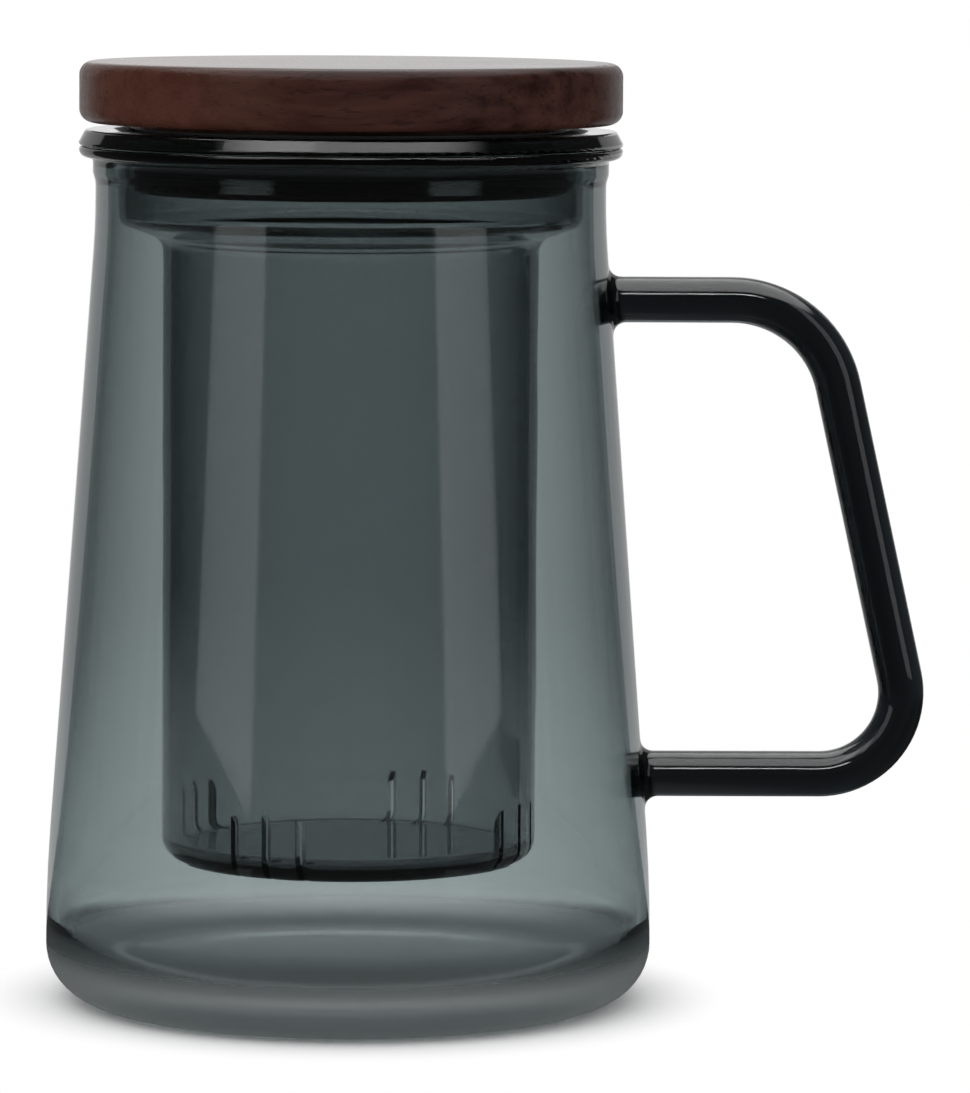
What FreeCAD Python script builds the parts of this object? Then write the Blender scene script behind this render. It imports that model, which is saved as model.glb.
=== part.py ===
"""A lidded tea mug with a hanging glass infuser, in millimetres.

A smoked glass mug with a welded rod handle. A glass infuser hangs by its flange on the mug's rim, and has
slits cut through its lower edge. A turned wooden lid closes the infuser with a silicone ring.

Frame: +Z is up, the origin is the centre of the foot on the surface that the mug stands on, and the handle
points along +X.
"""

import FreeCAD
import Part

import math
import os

V = FreeCAD.Vector
UP = V(0, 0, 1)

# Mug body: radii are outside radii, heights are above the table, drops are below the rim
rim_z = 128.7
base_r = 45.7
neck_r = 38.25
mug_wall = 1.8
base_corner_r = 8.5
base_land_h = 0.3
base_blend_h = 8.5
neck_drop = 11.4
neck_blend_r = 110.0
neck_swell = 0.4
swell_foot_drop = 5.4
swell_top_drop = 4.0
swell_foot_r = 3.0
swell_top_r = 2.0
rim_overhang = 2.45
rim_bead_h = 1.7
rim_lip_r = 3.0
rim_top_edge_r = 0.5
rim_under_edge_r = 1.15
under_bead_r = 0.6
floor_z = 5.0
floor_corner_r = 8.0
floor_blend_r = 95.0
foot_land_w = 2.5
foot_edge_r = 3.0
punt_rise_w = 14.0
punt_depth = 1.1
punt_blend_r = 140.0

# The round mark that the blower's iron leaves in the middle of the underside
iron_mark_r = 10.0
iron_mark_top_r = 5.5
iron_mark_depth = 0.8
iron_mark_blend_r = 8.0

# Handle: one bent rod in the plane of the X and Z axes
rod_d = 6.9
top_arm_drop = 22.8
bottom_arm_z = 34.1
grip_reach = 40.8
grip_lean_deg = 12.5
upper_bend_r = 16.5
lower_bend_r = 12.3
weld_fillet_r = 1.9

# Infuser: it hangs on the mug's rim
seat_gap = 0.08
flange_overhang = 0.3
flange_t = 2.35
flange_slope_w = 1.25
flange_top_edge_r = 0.6
flange_under_edge_r = 0.4
collar_clear = 1.55
collar_h = 11.45
shoulder_fall = 2.66
tube_r = 28.2
tube_foot_clear = 16.4
infuser_wall = 1.5
infuser_floor_t = 2.0
mouth_r = 3.1
shoulder_corner_r = 2.2
shoulder_fillet_r = 2.5
tube_corner_r = 3.2

# Slits: groups of parallel saw cuts through the lower edge of the tube
slit_groups = 4
slits_per_group = 3
slit_pitch = 5.3
slit_w = 1.0
slit_h = 9.7
slit_reach = 5.0
first_group_deg = -25.8

# Lid: a turned disc with a spigot, held clear of the flange by its ring
disc_inset = 0.05
disc_t = 9.1
disc_edge_r = 2.0
lid_gap = 1.05
spigot_neck_clear = 0.3
spigot_clear = 1.0
spigot_len = 10.4
spigot_edge_r = 1.2
groove_depth = 2.2
groove_h = 6.6

# Seal ring: a sleeve in the groove, with two fins and a round lip that seats in the infuser's mouth
ring_play = 0.05
sleeve_top_h = 0.2
lip_t = 1.6
lip_seat_deg = 35.0
fin_reach = 0.75
fin_count = 2
fin_pitch = 2.0
fin_root_t = 1.0
fin_tip_t = 0.5
running_gap = 0.15

# The straight stretch that is left between two arcs that all but meet
least_flat = 0.02

# Sizes worked out from the ones above
rim_r = neck_r + rim_overhang
cone_top_z = rim_z - neck_drop
cone_foot_z = base_corner_r + base_land_h + base_blend_h
rod_r = rod_d / 2
top_arm_z = rim_z - top_arm_drop
flange_z = rim_z + seat_gap
flange_top_z = flange_z + flange_t
collar_r = neck_r - mug_wall - collar_clear
bore_r = collar_r - infuser_wall
tube_foot_z = floor_z + tube_foot_clear
disc_z = flange_top_z + lid_gap
spigot_r = bore_r - spigot_clear
groove_floor_r = spigot_r - groove_depth
lip_nose_r = lip_t / 2
lip_from_mouth = mouth_r + running_gap + lip_nose_r
lip_z = flange_top_z - mouth_r + lip_from_mouth * math.sin(math.radians(lip_seat_deg))
groove_top_z = lip_z + lip_nose_r + sleeve_top_h + ring_play


def rounded_edges(corners, closed):
    """Edges through corners (x, z, rounding) in the XZ plane, each corner rounded by a tangent arc."""
    points = [V(x, 0, z) for x, z, _ in corners]
    last = len(points) - 1
    stretches = []
    for i, (corner, (_, _, radius)) in enumerate(zip(points, corners)):
        at_end = not closed and i in (0, last)
        if at_end or radius == 0:
            stretches.append((corner, None, corner))
            continue
        back = (points[i - 1] - corner).normalize()
        ahead = (points[(i + 1) % len(points)] - corner).normalize()
        half_angle = back.getAngle(ahead) / 2
        inward = (back + ahead).normalize()
        run = radius / math.tan(half_angle)
        middle = corner + inward * (radius / math.sin(half_angle) - radius)
        stretches.append((corner + back * run, middle, corner + ahead * run))
    edges = []
    for i, (start, middle, end) in enumerate(stretches):
        if middle:
            edges.append(Part.Arc(start, middle, end).toShape())
        if closed or i < last:
            following = stretches[(i + 1) % len(stretches)][0]
            edges.append(Part.LineSegment(end, following).toShape())
    return edges


def round_edge(thickness):
    """The rounding of both corners of an edge of that thickness that makes the edge a half round."""
    return (thickness - least_flat) / 2


def turned(corners):
    """The solid that a closed outline of corners makes when it turns about the Z axis."""
    outline = Part.Face(Part.Wire(rounded_edges(corners, closed=True)))
    return outline.revolve(V(), UP, 360)


def mug_outside():
    """Corners of the mug's outside, from the middle of its underside up to the top of the rim."""
    foot_inner_r = base_r - base_corner_r - foot_land_w
    cone_lean = math.atan2(base_r - neck_r, cone_top_z - cone_foot_z)
    base_blend_r = base_blend_h / math.tan(cone_lean / 2)
    swell_r = neck_r + neck_swell
    return [
        (0, punt_depth + iron_mark_depth, 0),
        (iron_mark_top_r, punt_depth + iron_mark_depth, iron_mark_blend_r),
        (iron_mark_r, punt_depth, iron_mark_blend_r),
        (foot_inner_r - punt_rise_w, punt_depth, punt_blend_r),
        (foot_inner_r, 0, foot_edge_r),
        (base_r, 0, base_corner_r),
        (base_r, cone_foot_z, base_blend_r),
        (neck_r, cone_top_z, neck_blend_r),
        (neck_r, rim_z - swell_foot_drop, swell_foot_r),
        (swell_r, rim_z - swell_top_drop, swell_top_r),
        (swell_r, rim_z - rim_bead_h, under_bead_r),
        (rim_r, rim_z - rim_bead_h, rim_under_edge_r),
        (rim_r, rim_z, rim_top_edge_r),
    ]


def mug_inside():
    """Corners of the mug's inside, from the lip down to the middle of the floor."""
    return [
        (neck_r - mug_wall, rim_z, rim_lip_r),
        (neck_r - mug_wall, cone_top_z, neck_blend_r),
        (base_r - mug_wall, cone_foot_z, floor_blend_r),
        (base_r - mug_wall, floor_z, floor_corner_r),
        (0, floor_z, 0),
    ]


def mug_body():
    return turned(mug_outside() + mug_inside())


def handle():
    """The bent rod with its welds: it is filleted onto the mug's outside, which is then taken away."""
    filled_mug = turned(mug_outside() + [(0, rim_z, 0)])
    grip_foot_x = base_r + grip_reach
    grip_top_x = grip_foot_x - (top_arm_z - bottom_arm_z) * math.tan(math.radians(grip_lean_deg))
    start_x = neck_r - mug_wall
    route = rounded_edges(
        [
            (start_x, top_arm_z, 0),
            (grip_top_x, top_arm_z, upper_bend_r),
            (grip_foot_x, bottom_arm_z, lower_bend_r),
            (start_x, bottom_arm_z, 0),
        ],
        closed=False,
    )
    section = Part.Wire(Part.makeCircle(rod_r, V(start_x, 0, top_arm_z), V(1, 0, 0)))
    rod = Part.Wire(route).makePipeShell([section], True, True)
    joined = filled_mug.fuse(rod)
    seams = [edge for edge in joined.Edges if is_weld_seam(edge)]
    return joined.makeFillet(weld_fillet_r, seams).cut(filled_mug)


def is_weld_seam(edge):
    """Whether an edge is where the rod meets the wall: it closes round an arm within the rod's width."""
    box = edge.BoundBox
    at_arm = min(abs(box.Center.z - top_arm_z), abs(box.Center.z - bottom_arm_z)) < rod_r / 2
    return at_arm and box.XMin > neck_r / 2 and box.XMax < base_r and box.YLength > rod_r


def infuser():
    """The strainer: one turned wall with the slits sawn through its lower edge."""
    shoulder_z = flange_z - collar_h
    shoulder_run = collar_r - tube_r
    lean = math.atan2(shoulder_fall, shoulder_run)
    lift = infuser_wall * (1 - math.sin(lean)) / math.cos(lean)
    flange_r = rim_r + flange_overhang
    wall = turned(
        [
            (0, tube_foot_z, 0),
            (tube_r, tube_foot_z, tube_corner_r),
            (tube_r, shoulder_z - shoulder_fall, shoulder_fillet_r),
            (collar_r, shoulder_z, shoulder_corner_r),
            (collar_r, flange_z, mouth_r - infuser_wall),
            (flange_r, flange_z, flange_under_edge_r),
            (flange_r - flange_slope_w, flange_top_z, flange_top_edge_r),
            (bore_r, flange_top_z, mouth_r),
            (bore_r, shoulder_z + lift, shoulder_corner_r - infuser_wall),
            (tube_r - infuser_wall, shoulder_z - shoulder_fall + lift, shoulder_fillet_r + infuser_wall),
            (tube_r - infuser_wall, tube_foot_z + infuser_floor_t, tube_corner_r - infuser_wall),
            (0, tube_foot_z + infuser_floor_t, 0),
        ]
    )
    return wall.cut(saw_cuts())


def saw_cuts():
    """Round saw blades, parallel in each group, that cut slit_reach in and slit_h up at the tube's foot."""
    blade_r = (slit_h**2 + slit_reach**2) / (2 * slit_reach)
    blade_centre_r = tube_r - slit_reach + blade_r
    blades = []
    for group in range(slit_groups):
        turn = first_group_deg + group * 360 / slit_groups
        for slit in range(slits_per_group):
            aside = (slit - (slits_per_group - 1) / 2) * slit_pitch
            blade = Part.makeCylinder(
                blade_r, slit_w, V(aside - slit_w / 2, -blade_centre_r, tube_foot_z), V(1, 0, 0)
            )
            blade.rotate(V(), UP, turn)
            blades.append(blade)
    return blades


def lid():
    """The turned wooden lid: disc, short neck, groove for the ring and spigot."""
    disc_r = rim_r - disc_inset
    spigot_neck_r = bore_r - spigot_neck_clear
    return turned(
        [
            (0, disc_z + disc_t, 0),
            (disc_r, disc_z + disc_t, disc_edge_r),
            (disc_r, disc_z, disc_edge_r),
            (spigot_neck_r, disc_z, 0),
            (spigot_neck_r, groove_top_z, 0),
            (groove_floor_r, groove_top_z, 0),
            (groove_floor_r, groove_top_z - groove_h, 0),
            (spigot_r, groove_top_z - groove_h, 0),
            (spigot_r, disc_z - spigot_len, spigot_edge_r),
            (0, disc_z - spigot_len, 0),
        ]
    )


def lid_seal():
    """The silicone ring: a sleeve with fins, and a lip that rests in the infuser's rounded mouth."""
    inner_r = groove_floor_r + ring_play
    tip_r = bore_r - running_gap
    outer_r = tip_r - fin_reach
    lip_centre_r = bore_r + mouth_r - lip_from_mouth * math.cos(math.radians(lip_seat_deg))
    lip_r = lip_centre_r + lip_nose_r
    foot_z = groove_top_z - groove_h + ring_play
    corners = [(inner_r, foot_z, 0), (outer_r, foot_z, 0)]
    for fin in reversed(range(fin_count)):
        fin_z = lip_z - (fin + 1) * fin_pitch
        corners += [
            (outer_r, fin_z - fin_root_t / 2, 0),
            (tip_r, fin_z - fin_tip_t / 2, 0),
            (tip_r, fin_z + fin_tip_t / 2, 0),
            (outer_r, fin_z + fin_root_t / 2, 0),
        ]
    corners += [
        (outer_r, lip_z - lip_nose_r, 0),
        (lip_r, lip_z - lip_nose_r, round_edge(lip_t)),
        (lip_r, lip_z + lip_nose_r, round_edge(lip_t)),
        (outer_r, lip_z + lip_nose_r, 0),
        (outer_r, groove_top_z - ring_play, 0),
        (inner_r, groove_top_z - ring_play, 0),
    ]
    return turned(corners)


os.makedirs("parts", exist_ok=True)
for make in (mug_body, handle, infuser, lid, lid_seal):
    piece = make()
    piece.exportStep(f"parts/{make.__name__}.step")
    box = piece.optimalBoundingBox()
    print(
        f"{make.__name__}: valid {piece.isValid()}, {len(piece.Solids)} solid, {piece.Volume:.0f} mm3,"
        f" x {box.XMin:.2f} to {box.XMax:.2f}, z {box.ZMin:.2f} to {box.ZMax:.2f}"
    )
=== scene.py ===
"""Looks for the lidded tea mug: smoked glass, dark wood and silicone on a white ground, in metres.

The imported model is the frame. Its five nodes keep their shapes and get their finishes here.
"""

import math

import bpy
from mathutils import Matrix, Vector

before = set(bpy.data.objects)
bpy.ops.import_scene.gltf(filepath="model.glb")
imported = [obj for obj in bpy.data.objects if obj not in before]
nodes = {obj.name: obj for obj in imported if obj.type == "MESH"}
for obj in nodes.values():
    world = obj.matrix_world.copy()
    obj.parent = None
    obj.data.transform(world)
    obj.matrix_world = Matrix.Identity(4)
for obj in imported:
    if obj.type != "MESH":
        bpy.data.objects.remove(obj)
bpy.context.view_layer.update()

WHITE = (1.0, 1.0, 1.0, 1.0)
DEGREES_PER_RADIAN = 180 / math.pi

# Camera, as fitted to the photograph, with its roll in radians
IMAGE_HEIGHT_PX = 1093
FOCAL_PX = 6384.0
SENSOR_MM = 36.0
CAMERA_PLACE = Vector((0.0, -0.9574, 0.1661))
CAMERA_TARGET = Vector((0.0204, 0.0, 0.0685))
CAMERA_ROLL = 0.0061
CLIP_START = 0.01
CLIP_END = 100.0

# Bounces that a ray may take in all, and on glossy and matt surfaces
ALL_BOUNCES = 32
GLOSSY_BOUNCES = 16
DIFFUSE_BOUNCES = 4

# Light levels, where 1 is white
DIFFUSE_LEVEL = 0.95
STUDIO_LEVEL = 0.05
STRIP_LEVEL = 1.0
BACKDROP_SIDE_LEVEL = 0.5
BACKDROP_MIDDLE_LEVEL = 0.88
CEILING_LEVEL = 3.3
FRONT_BOX_LEVEL = 14.0

# Studio directions, in degrees round from the camera's side and up from the horizon
STRIP_INNER_DEG = 37
STRIP_OUTER_DEG = 64
STRIP_EDGE_DEG = 2
BACKDROP_DEG = 142
BACKDROP_EDGE_DEG = 3
MIDDLE_START_DEG = 162
MIDDLE_END_DEG = 178
CEILING_DEG = 43
CEILING_EDGE_DEG = 8
FRONT_BOX_HALF_DEG = 16
FRONT_BOX_FOOT_DEG = 30
FRONT_BOX_TOP_DEG = 36
FRONT_BOX_EDGE_DEG = 2

# Key lamp
KEY_PLACE = Vector((-0.45, -0.45, 0.75))
KEY_TARGET = Vector((0.0, 0.0, 0.08))
KEY_SIZE = 0.5
KEY_WATTS = 1.0

# Floor: its size, and how far from the mug's axis its paint fades into plain white
FLOOR_R = 30.0
FLOOR_SIDES = 96
FLOOR_ALBEDO = 0.95
FADE_START = 0.04
FADE_END = 0.058

# Floor in reflections and through glass: a painted shadow beneath the mug, then at the studio's levels
PAINTED_SHADOW_LEVEL = 0.18
PAINTED_SHADOW_R = 0.05
PAINTED_SHADOW_EDGE = 0.025

# A pale table round the mug, which shows only through glass
TABLE_LEVEL = 1.05
TABLE_R = 0.1
TABLE_EDGE = 0.55

# The middle of a noise texture's values, which few of them leave
NOISE_LOW = 0.3
NOISE_HIGH = 0.7

# Glass: absorption per metre for red, green and blue
GLASS_IOR = 1.47
GLASS_ABSORPTION = (355.0, 309.0, 306.0)
INFUSER_ABSORPTION = (386.0, 358.0, 350.0)
ROD_ABSORPTION = (780.0, 740.0, 720.0)
DENSITY_MARGIN = 1.25

# Glass surface: streaks per metre along X, Y and Z, and the ripple that they raise
GLASS_STREAKS = (160.0, 160.0, 9.0)
GLASS_STREAK_DETAIL = 2.0
GLASS_ROUGHNESS = 0.02
RIPPLE_STRENGTH = 0.05
RIPPLE_HEIGHT = 0.0004

# Foot of the mug's glass: its share of the absorption, its shade and its roughness, by height
FOOT_START = 0.006
FOOT_END = 0.013
FOOT_TINT = 0.02
FOOT_ROUGHNESS = 0.4
FOOT_SHADE = (0.68, 0.74, 0.75, 1.0)
FOOT_SHADE_START = 0.004
FOOT_SHADE_END = 0.009

# Wood grain: a slight bend, then streaks, bands and pores per metre along X, Y and Z
BEND_SCALE = 14.0
BEND_DETAIL = 2.0
BEND_SHARE = 0.012
STREAKS = (30.0, 420.0, 420.0)
STREAK_DETAIL = 5.0
STREAK_ROUGHNESS = 0.6
STREAK_SHARE = 0.55
BANDS = (9.0, 60.0, 110.0)
BAND_DETAIL = 3.0
BAND_SHARE = 0.45
PORES = (260.0, 1900.0, 1900.0)
PORE_DETAIL = 1.0
PORE_START = 0.60
PORE_END = 0.68
PORE_SHARE = 0.45

# Wood colours, and the tones at which the darkest and the lightest are reached
DARK_TONE = 0.36
LIGHT_TONE = 0.64
DARK_WOOD = (0.014, 0.0048, 0.0042, 1.0)
LIGHT_WOOD = (0.054, 0.0205, 0.0148, 1.0)
PORE_WOOD = (0.008, 0.0035, 0.003, 1.0)

# Painted light on the lid's left half, paler and redder: none at the middle, its full share from the reach
# on
PAINTED_LIGHT_WOOD = (0.085, 0.027, 0.015, 1.0)
PAINTED_LIGHT_WOOD_SHARE = 0.4
PAINTED_LIGHT_WOOD_REACH = 0.032

# Wood surface: its relief, its sheen, and a varnish that shows only where it faces upwards
STREAK_RELIEF = 0.4
WOOD_BUMP_STRENGTH = 0.25
WOOD_BUMP_HEIGHT = 0.00012
WOOD_ROUGHNESS_LOW = 0.24
WOOD_ROUGHNESS_HIGH = 0.34
WOOD_SPECULAR = 0.12
VARNISH_START = 0.8
VARNISH_END = 0.98
VARNISH_SHARE = 0.5
VARNISH_ROUGHNESS = 0.14

# Silicone
SILICONE_COLOUR = (0.11, 0.115, 0.115, 1.0)
SILICONE_GRAIN = 2600.0
SILICONE_GRAIN_DETAIL = 2.0
SILICONE_ROUGHNESS_LOW = 0.45
SILICONE_ROUGHNESS_HIGH = 0.6
SILICONE_BUMP_STRENGTH = 0.2
SILICONE_BUMP_HEIGHT = 0.00005


def add(tree, kind, inputs=(), **settings):
    """A new shader node. inputs maps a socket's name or number to a value or to another node's output."""
    made = tree.nodes.new("ShaderNode" + kind)
    for name, value in settings.items():
        setattr(made, name, value)
    for socket, value in dict(inputs).items():
        if isinstance(value, bpy.types.NodeSocket):
            tree.links.new(value, made.inputs[socket])
        else:
            made.inputs[socket].default_value = value
    return made


def maths(tree, operation, a, b=0.0):
    return add(tree, "Math", {0: a, 1: b}, operation=operation).outputs[0]


def times(tree, a, b):
    return maths(tree, "MULTIPLY", a, b)


def ramp(tree, value, start, end, to_start=0.0, to_end=1.0):
    """A smooth rise or fall from to_start at start to to_end at end."""
    inputs = {"Value": value, "From Min": start, "From Max": end, "To Min": to_start, "To Max": to_end}
    return add(tree, "MapRange", inputs, interpolation_type="SMOOTHSTEP").outputs["Result"]


def drop(tree, value, start, end):
    """A smooth fall from 1 at start to 0 at end."""
    return ramp(tree, value, start, end, 1.0, 0.0)


def band(tree, value, start, end, edge):
    """1 where value lies between start and end and 0 elsewhere, with both edges softened inwards."""
    return times(tree, ramp(tree, value, start, start + edge), drop(tree, value, end - edge, end))


def blended(tree, share, first, second):
    """first where share is 0 and second where it is 1."""
    return add(tree, "Mix", {"Factor": share, 2: first, 3: second}, data_type="FLOAT").outputs[0]


def blended_colour(tree, share, first, second, blend_type="MIX"):
    inputs = {"Fac": share, "Color1": first, "Color2": second}
    return add(tree, "MixRGB", inputs, blend_type=blend_type).outputs[0]


def along(tree, vector, axis):
    """The part of a vector that lies along the axis named X, Y or Z."""
    return add(tree, "SeparateXYZ", {0: vector}).outputs[axis]


def noise(tree, place, scales, detail, roughness=0.5):
    """Noise with a scale of its own along each axis."""
    stretched = add(tree, "Mapping", {"Vector": place, "Scale": scales}).outputs[0]
    inputs = {"Vector": stretched, "Scale": 1.0, "Detail": detail, "Roughness": roughness}
    return add(tree, "TexNoise", inputs).outputs[0]


def bump(tree, height, strength, distance):
    return add(tree, "Bump", {"Height": height, "Strength": strength, "Distance": distance}).outputs[0]


def blank_material(name):
    material = bpy.data.materials.new(name)
    material.use_nodes = True
    material.node_tree.nodes.clear()
    return material, material.node_tree


def finish_node(name, material):
    nodes[name].material_slots[0].material = material


def smoked_glass(name, absorption, footed=False):
    """Clear glass that darkens with its thickness, with the faint ripple of blown and drawn glass.

    In its thick foot, a footed glass absorbs far less and is frosted and shaded grey instead.
    """
    material, tree = blank_material(name)
    place = add(tree, "TexCoord").outputs["Object"]
    streaks = noise(tree, place, GLASS_STREAKS, GLASS_STREAK_DETAIL)
    roughness = ramp(tree, streaks, NOISE_LOW, NOISE_HIGH, 0.0, GLASS_ROUGHNESS)
    shade = WHITE
    # The volume absorbs density times one minus colour, so the margin keeps every colour above zero
    density = max(absorption) * DENSITY_MARGIN
    colour = [1 - x / density for x in absorption]
    if footed:
        height = along(tree, place, "Z")
        foot = drop(tree, height, FOOT_START, FOOT_END)
        low = drop(tree, height, FOOT_SHADE_START, FOOT_SHADE_END)
        shade = blended_colour(tree, low, WHITE, FOOT_SHADE)
        roughness = blended(tree, foot, roughness, FOOT_ROUGHNESS)
        density = blended(tree, foot, density, FOOT_TINT * density)
    surface = add(
        tree,
        "BsdfPrincipled",
        {
            "Base Color": shade,
            "Transmission Weight": 1.0,
            "IOR": GLASS_IOR,
            "Roughness": roughness,
            "Normal": bump(tree, streaks, RIPPLE_STRENGTH, RIPPLE_HEIGHT),
        },
    )
    volume = add(tree, "VolumeAbsorption", {"Color": (*colour, 1.0), "Density": density})
    add(tree, "OutputMaterial", {"Surface": surface.outputs[0], "Volume": volume.outputs[0]})
    return material


def wood_colour(tree, place, streaks, bands, pore):
    """Dark and light wood by streaks and bands, with dark pores and painted light that makes the left half
    paler.
    """
    tone = maths(tree, "ADD", times(tree, streaks, STREAK_SHARE), times(tree, bands, BAND_SHARE))
    plain = add(tree, "ValToRGB", {"Fac": tone})
    dark, light = plain.color_ramp.elements
    dark.position = DARK_TONE
    dark.color = DARK_WOOD
    light.position = LIGHT_TONE
    light.color = LIGHT_WOOD
    pored = blended_colour(tree, times(tree, pore, PORE_SHARE), plain.outputs[0], PORE_WOOD)
    # Painted light: the lid's left half turns paler and redder, as if lit from the left
    painted_light = ramp(tree, along(tree, place, "X"), -PAINTED_LIGHT_WOOD_REACH, 0.0, PAINTED_LIGHT_WOOD_SHARE, 0.0)
    return blended_colour(tree, painted_light, pored, PAINTED_LIGHT_WOOD)


def dark_wood():
    """Dark walnut: slightly bent bands and streaks along X, short dark pores and a varnished top."""
    material, tree = blank_material("walnut")
    place = add(tree, "TexCoord").outputs["Object"]
    bend = add(tree, "TexNoise", {"Vector": place, "Scale": BEND_SCALE, "Detail": BEND_DETAIL})
    bent = blended_colour(tree, BEND_SHARE, place, bend.outputs["Color"], "ADD")
    streaks = noise(tree, bent, STREAKS, STREAK_DETAIL, STREAK_ROUGHNESS)
    bands = noise(tree, bent, BANDS, BAND_DETAIL)
    pore = ramp(tree, noise(tree, bent, PORES, PORE_DETAIL), PORE_START, PORE_END)
    relief = maths(tree, "SUBTRACT", times(tree, streaks, STREAK_RELIEF), pore)
    upward = along(tree, add(tree, "NewGeometry").outputs["Normal"], "Z")
    sheen = ramp(tree, streaks, NOISE_LOW, NOISE_HIGH, WOOD_ROUGHNESS_LOW, WOOD_ROUGHNESS_HIGH)
    surface = add(
        tree,
        "BsdfPrincipled",
        {
            "Base Color": wood_colour(tree, place, streaks, bands, pore),
            "Roughness": sheen,
            "Specular IOR Level": WOOD_SPECULAR,
            "Normal": bump(tree, relief, WOOD_BUMP_STRENGTH, WOOD_BUMP_HEIGHT),
            "Coat Weight": ramp(tree, upward, VARNISH_START, VARNISH_END, 0.0, VARNISH_SHARE),
            "Coat Roughness": VARNISH_ROUGHNESS,
        },
    )
    add(tree, "OutputMaterial", {"Surface": surface.outputs[0]})
    return material


def grey_silicone():
    """Matt dark silicone with a fine moulded grain."""
    material, tree = blank_material("silicone")
    fine = {
        "Vector": add(tree, "TexCoord").outputs["Object"],
        "Scale": SILICONE_GRAIN,
        "Detail": SILICONE_GRAIN_DETAIL,
    }
    grain = add(tree, "TexNoise", fine).outputs[0]
    sheen = ramp(tree, grain, NOISE_LOW, NOISE_HIGH, SILICONE_ROUGHNESS_LOW, SILICONE_ROUGHNESS_HIGH)
    surface = add(
        tree,
        "BsdfPrincipled",
        {
            "Base Color": SILICONE_COLOUR,
            "Roughness": sheen,
            "Normal": bump(tree, grain, SILICONE_BUMP_STRENGTH, SILICONE_BUMP_HEIGHT),
        },
    )
    add(tree, "OutputMaterial", {"Surface": surface.outputs[0]})
    return material


def degrees_round(tree, direction):
    """How far a direction lies round from the camera's side, to the left or to the right."""
    sideways = maths(tree, "ABSOLUTE", along(tree, direction, "X"))
    towards = times(tree, along(tree, direction, "Y"), -1.0)
    return times(tree, maths(tree, "ARCTAN2", sideways, towards), DEGREES_PER_RADIAN)


def backdrop_level(tree, round_deg):
    """A dark studio with a pale backdrop behind the mug, lightest in the middle."""
    middle = ramp(tree, round_deg, MIDDLE_START_DEG, MIDDLE_END_DEG)
    pale = blended(tree, middle, BACKDROP_SIDE_LEVEL, BACKDROP_MIDDLE_LEVEL)
    edge = ramp(tree, round_deg, BACKDROP_DEG - BACKDROP_EDGE_DEG, BACKDROP_DEG)
    return blended(tree, edge, STUDIO_LEVEL, pale)


def lamps_level(tree, round_deg, up_deg):
    """Two soft strips at the camera's side, a wide ceiling and a small bright box in front of the mug."""
    strips = band(tree, round_deg, STRIP_INNER_DEG, STRIP_OUTER_DEG, STRIP_EDGE_DEG)
    strips = times(tree, strips, STRIP_LEVEL)
    ceiling = ramp(tree, up_deg, CEILING_DEG, CEILING_DEG + CEILING_EDGE_DEG, 0.0, CEILING_LEVEL)
    across = drop(tree, round_deg, FRONT_BOX_HALF_DEG - FRONT_BOX_EDGE_DEG, FRONT_BOX_HALF_DEG)
    upright = band(tree, up_deg, FRONT_BOX_FOOT_DEG, FRONT_BOX_TOP_DEG, FRONT_BOX_EDGE_DEG)
    front_box = times(tree, times(tree, across, upright), FRONT_BOX_LEVEL)
    return maths(tree, "MAXIMUM", strips, maths(tree, "MAXIMUM", ceiling, front_box))


def floor_material():
    """Pale paint that takes the shadow near the mug and turns plain white further off.

    In reflections and through glass the floor glows instead: a painted shadow beneath the mug, then like
    the studio, and through glass with a pale table round the mug.
    """
    material, tree = blank_material("floor")
    place = add(tree, "NewGeometry").outputs["Position"]
    away = add(tree, "VectorMath", {0: place}, operation="LENGTH").outputs["Value"]
    path = add(tree, "LightPath").outputs
    through = path["Is Transmission Ray"]
    seen_in_glass = maths(tree, "MAXIMUM", path["Is Glossy Ray"], through)
    table = times(tree, through, drop(tree, away, TABLE_R, TABLE_R + TABLE_EDGE))
    studio = blended(tree, table, backdrop_level(tree, degrees_round(tree, place)), TABLE_LEVEL)
    # Painted shadow: beneath the mug the floor's glow drops to a dark level
    painted_shadow = drop(tree, away, PAINTED_SHADOW_R, PAINTED_SHADOW_R + PAINTED_SHADOW_EDGE)
    level = blended(tree, seen_in_glass, 1.0, blended(tree, painted_shadow, studio, PAINTED_SHADOW_LEVEL))
    white = maths(tree, "MAXIMUM", ramp(tree, away, FADE_START, FADE_END), seen_in_glass)
    paint = add(tree, "BsdfDiffuse", {"Color": (FLOOR_ALBEDO, FLOOR_ALBEDO, FLOOR_ALBEDO, 1.0)})
    glow = add(tree, "Emission", {"Strength": level})
    mix = add(tree, "MixShader", {0: white, 1: paint.outputs[0], 2: glow.outputs[0]})
    add(tree, "OutputMaterial", {"Surface": mix.outputs[0]})
    return material


def make_floor():
    """A wide disc at the height of the mug's foot."""
    turns = (2 * math.pi * side / FLOOR_SIDES for side in range(FLOOR_SIDES))
    ring = [(FLOOR_R * math.cos(turn), FLOOR_R * math.sin(turn), 0.0) for turn in turns]
    mesh = bpy.data.meshes.new("floor")
    mesh.from_pydata(ring, [], [list(range(FLOOR_SIDES))])
    mesh.materials.append(floor_material())
    floor = bpy.data.objects.new("floor", mesh)
    bpy.context.scene.collection.objects.link(floor)


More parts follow.
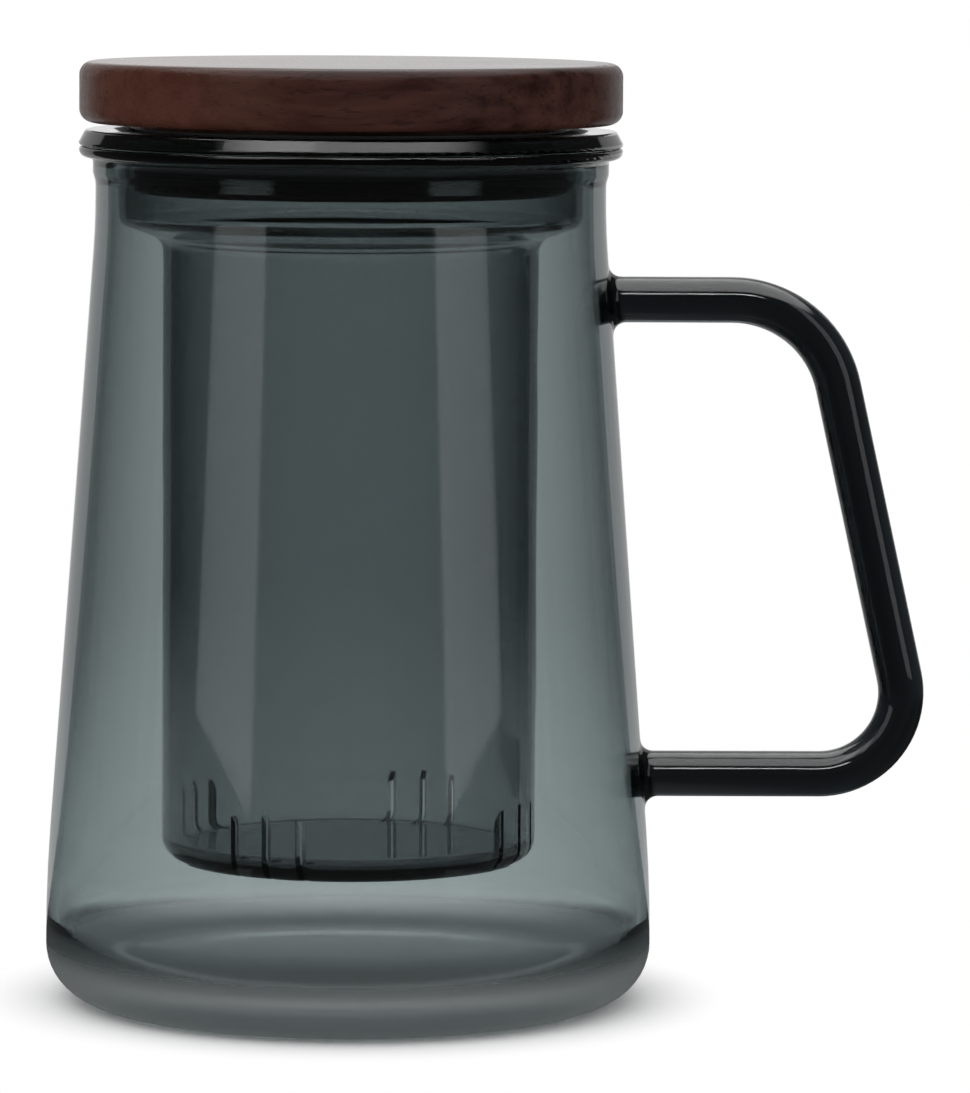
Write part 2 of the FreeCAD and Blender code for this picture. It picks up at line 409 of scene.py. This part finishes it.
def make_world():
    """White straight behind everything, level light on matt surfaces, and the studio for all other rays."""
    world = bpy.data.worlds.new("studio")
    bpy.context.scene.world = world
    world.use_nodes = True
    world.cycles.sampling_method = "NONE"
    tree = world.node_tree
    tree.nodes.clear()
    direction = add(tree, "TexCoord").outputs["Generated"]
    up_deg = times(tree, maths(tree, "ARCSINE", along(tree, direction, "Z")), DEGREES_PER_RADIAN)
    round_deg = degrees_round(tree, direction)
    studio = maths(tree, "MAXIMUM", backdrop_level(tree, round_deg), lamps_level(tree, round_deg, up_deg))
    path = add(tree, "LightPath").outputs
    level = blended(tree, path["Is Diffuse Ray"], studio, DIFFUSE_LEVEL)
    level = blended(tree, path["Is Camera Ray"], level, 1.0)
    shown = add(tree, "Background", {"Color": WHITE, "Strength": level})
    add(tree, "OutputWorld", {"Surface": shown.outputs[0]})


def aim(place, target, roll=0.0):
    """A matrix at place whose -Z axis looks at target, turned by roll about that line."""
    back = (place - target).normalized()
    level = Vector((0, 0, 1)).cross(back).normalized()
    upright = back.cross(level)
    right = math.cos(roll) * level + math.sin(roll) * upright
    up = -math.sin(roll) * level + math.cos(roll) * upright
    turn = Matrix((right, up, back)).transposed().to_4x4()
    return Matrix.Translation(place) @ turn


def make_key_lamp():
    data = bpy.data.lights.new("key", "AREA")
    data.size = KEY_SIZE
    data.energy = KEY_WATTS
    lamp = bpy.data.objects.new("key", data)
    lamp.matrix_world = aim(KEY_PLACE, KEY_TARGET)
    bpy.context.scene.collection.objects.link(lamp)


def make_camera():
    data = bpy.data.cameras.new("camera")
    data.sensor_width = SENSOR_MM
    data.lens = FOCAL_PX / IMAGE_HEIGHT_PX * SENSOR_MM
    data.clip_start = CLIP_START
    data.clip_end = CLIP_END
    camera = bpy.data.objects.new("camera", data)
    camera.matrix_world = aim(CAMERA_PLACE, CAMERA_TARGET, CAMERA_ROLL)
    bpy.context.scene.collection.objects.link(camera)
    bpy.context.scene.camera = camera


def set_rendering():
    """Plain colours, and enough bounces for a ray to pass every wall of the mug and the infuser."""
    scene = bpy.context.scene
    scene.view_settings.view_transform = "Standard"
    scene.cycles.max_bounces = ALL_BOUNCES
    scene.cycles.transmission_bounces = ALL_BOUNCES
    scene.cycles.glossy_bounces = GLOSSY_BOUNCES
    scene.cycles.diffuse_bounces = DIFFUSE_BOUNCES


finish_node("mug_body", smoked_glass("smoked_glass_finish", GLASS_ABSORPTION, footed=True))
finish_node("infuser", smoked_glass("infuser_glass_finish", INFUSER_ABSORPTION))
finish_node("handle", smoked_glass("rod_glass_finish", ROD_ABSORPTION))
finish_node("lid", dark_wood())
finish_node("lid_seal", grey_silicone())
make_floor()
make_world()
make_key_lamp()
make_camera()
set_rendering()
